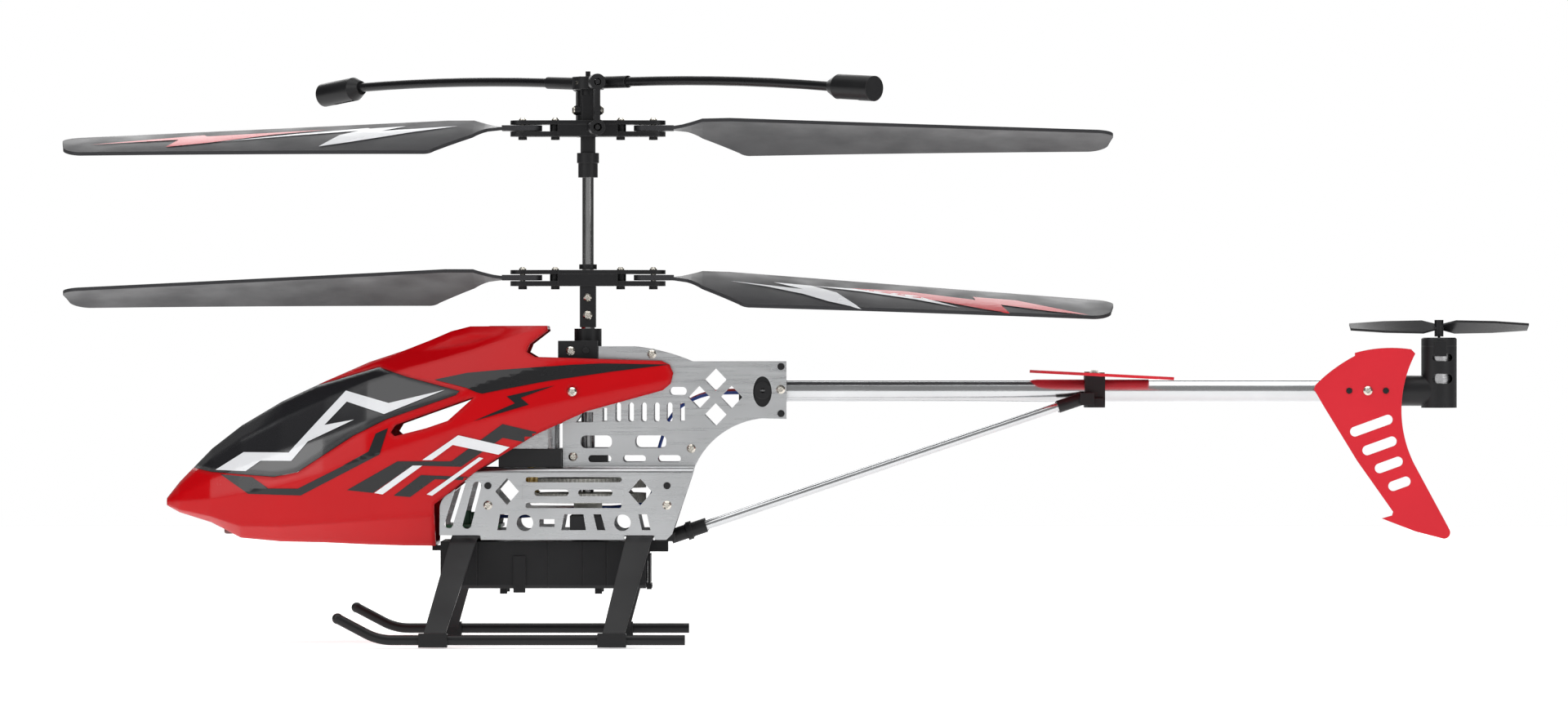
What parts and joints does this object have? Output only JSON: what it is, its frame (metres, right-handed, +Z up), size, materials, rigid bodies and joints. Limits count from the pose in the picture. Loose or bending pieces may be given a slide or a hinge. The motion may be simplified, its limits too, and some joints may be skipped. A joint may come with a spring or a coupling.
{
  "type": "remote control helicopter",
  "caption": "Coaxial toy helicopter with stacked counter-turning two-blade rotors, flybar, open red canopy, plate frame, tail boom with upward-facing tail rotor, fins and landing skids",
  "frame": {"origin": "bottom centre of the overall box, on the ground under the middle of the model at rest with the blades fore and aft", "axes": "+X points to the tail and the nose is at -X, +Y is the helicopter's right side, +Z is up"},
  "size_m": [0.5382, 0.214, 0.2109],
  "materials": {
    "side_plate": "bright brushed sheet",
    "boom_metal": "polished tube",
    "frame_plastic": "satin black moulding",
    "box_plastic": "matte black moulding",
    "strut_plastic": "satin black moulding",
    "canopy_red": "glossy red shell",
    "window_black": "glossy black",
    "lens_red": "dark red lens",
    "red_plate": "glossy red plate",
    "blade_grey": "satin dark grey moulding",
    "hub_black": "satin black moulding",
    "shaft_steel": "polished steel",
    "screw_steel": "nickel plated",
    "rod_black": "black rod",
    "insert_steel": "knurled bright insert",
    "gear_white": "natural white moulding",
    "brass_gear": "plain",
    "motor_can": "plated can",
    "bearing_steel": "ground",
    "pack_blue": "heat-shrink wrap",
    "board_green": "circuit board",
    "switch_black": "plain",
    "knob_red": "plain",
    "wire_red": "wire insulation",
    "wire_blue": "wire insulation"
  },
  "bodies": {
    "airframe": {"airframe_screws": "screw_steel", "battery_box": "box_plastic", "battery_pack": "pack_blue", "boom_braces": "boom_metal", "boom_clamp": "frame_plastic", "boom_holder": "frame_plastic", "brace_ends": "frame_plastic", "canopy": "canopy_red", "canopy_window": "window_black", "frame_spacers": "frame_plastic", "landing_strut_front": "strut_plastic", "landing_strut_rear": "strut_plastic", "main_motor_left": "motor_can", "main_motor_right": "motor_can", "mast_bearing_block": "frame_plastic", "motor_mount": "frame_plastic", "nose_lens": "lens_red", "power_switch": "switch_black", "receiver_board": "board_green", "shaft_bearings": "bearing_steel", "side_frame_left": "side_plate", "side_frame_right": "side_plate", "skid_left": "strut_plastic", "skid_right": "strut_plastic", "stabilizer": "red_plate", "tail_boom": "boom_metal", "tail_fin": "red_plate", "tail_motor": "motor_can", "tail_motor_cap": "frame_plastic", "tail_motor_housing": "frame_plastic", "tail_wire_blue": "wire_blue", "tail_wire_red": "wire_red"},
    "battery_door": {"battery_door": "box_plastic"},
    "switch_knob": {"power_switch_knob": "knob_red"},
    "tail_rotor": {"tail_rotor": "hub_black"},
    "lower_rotor": {"outer_shaft": "shaft_steel", "upper_main_gear": "gear_white", "lower_hub": "hub_black", "lower_hub_cap": "hub_black", "lower_hub_screws": "screw_steel"},
    "upper_rotor": {"inner_shaft": "shaft_steel", "lower_main_gear": "gear_white", "shaft_collars": "hub_black", "head_post": "hub_black", "head_post_pins": "screw_steel"},
    "upper_head": {"upper_hub": "hub_black", "upper_hub_cap": "hub_black", "upper_hub_screws": "screw_steel"},
    "flybar": {"flybar_hub": "hub_black", "flybar_rods": "rod_black", "flybar_weights": "hub_black", "flybar_weight_inserts": "insert_steel"},
    "link_near": {"link_near": "hub_black"},
    "link_far": {"link_far": "hub_black"},
    "upper_blade_front": {"upper_blade_front": "blade_grey"},
    "upper_blade_rear": {"upper_blade_rear": "blade_grey"},
    "lower_blade_front": {"lower_blade_front": "blade_grey"},
    "lower_blade_rear": {"lower_blade_rear": "blade_grey"},
    "motor_rotor_left": {"pinion_left": "brass_gear"},
    "motor_rotor_right": {"pinion_right": "brass_gear"}
  },
  "joints": [
    {"name": "lower_rotor_spin", "type": "hinge", "parent": "airframe", "child": "lower_rotor", "pos_m": [-0.0762, 0, 0.1335], "axis": [0, 0, 1], "continuous": true},
    {"name": "upper_rotor_spin", "type": "hinge", "parent": "airframe", "child": "upper_rotor", "pos_m": [-0.0762, 0, 0.1884], "axis": [0, 0, 1], "continuous": true},
    {"name": "flybar_tilt", "type": "hinge", "parent": "upper_rotor", "child": "flybar", "pos_m": [-0.0762, 0, 0.205], "axis": [0.7071, 0.7071, 0], "range_deg": [-12, 12]},
    {"name": "upper_head_tilt", "type": "hinge", "parent": "upper_rotor", "child": "upper_head", "pos_m": [-0.0762, 0, 0.1884], "axis": [1, 0, 0], "range_deg": [-11, 11]},
    {"name": "link_near_pivot", "type": "hinge", "parent": "flybar", "child": "link_near", "pos_m": [-0.07267, -0.0123, 0.205], "axis": [0.7071, 0.7071, 0], "range_deg": [-12.5, 12.5]},
    {"name": "link_far_pivot", "type": "hinge", "parent": "flybar", "child": "link_far", "pos_m": [-0.07973, 0.0123, 0.205], "axis": [0.7071, 0.7071, 0], "range_deg": [-12.5, 12.5]},
    {"name": "upper_front_fold", "type": "hinge", "parent": "upper_head", "child": "upper_blade_front", "pos_m": [-0.1002, 0, 0.1884], "axis": [0, 0, 1], "range_deg": [-80, 80]},
    {"name": "upper_rear_fold", "type": "hinge", "parent": "upper_head", "child": "upper_blade_rear", "pos_m": [-0.0522, 0, 0.1884], "axis": [0, 0, 1], "range_deg": [-80, 80]},
    {"name": "lower_front_fold", "type": "hinge", "parent": "lower_rotor", "child": "lower_blade_front", "pos_m": [-0.1002, 0, 0.1335], "axis": [0, 0, 1], "range_deg": [-80, 80]},
    {"name": "lower_rear_fold", "type": "hinge", "parent": "lower_rotor", "child": "lower_blade_rear", "pos_m": [-0.0522, 0, 0.1335], "axis": [0, 0, 1], "range_deg": [-80, 80]},
    {"name": "motor_spin_left", "type": "hinge", "parent": "airframe", "child": "motor_rotor_left", "pos_m": [-0.0971, -0.01075, 0.06], "axis": [0, 0, 1], "continuous": true},
    {"name": "motor_spin_right", "type": "hinge", "parent": "airframe", "child": "motor_rotor_right", "pos_m": [-0.0971, 0.01075, 0.06], "axis": [0, 0, 1], "continuous": true},
    {"name": "tail_rotor_spin", "type": "hinge", "parent": "airframe", "child": "tail_rotor", "pos_m": [0.2364, 0, 0.1154], "axis": [0, 0, 1], "continuous": true},
    {"name": "power_switch_slide", "type": "slide", "parent": "airframe", "child": "switch_knob", "axis": [1, 0, 0], "range_m": [0, 0.003]},
    {"name": "battery_door_hinge", "type": "hinge", "parent": "airframe", "child": "battery_door", "pos_m": [-0.0535, 0, 0.0203], "axis": [0, 1, 0], "range_deg": [0, 100]}
  ],
  "couplings": [
    {"joint": "upper_head_tilt", "follows": "flybar_tilt", "ratio": 0.91},
    {"joint": "link_near_pivot", "follows": "flybar_tilt", "ratio": -1},
    {"joint": "link_far_pivot", "follows": "flybar_tilt", "ratio": -1},
    {"joint": "motor_spin_left", "follows": "lower_rotor_spin", "ratio": -8.4},
    {"joint": "motor_spin_right", "follows": "upper_rotor_spin", "ratio": -8.4}
  ]
}
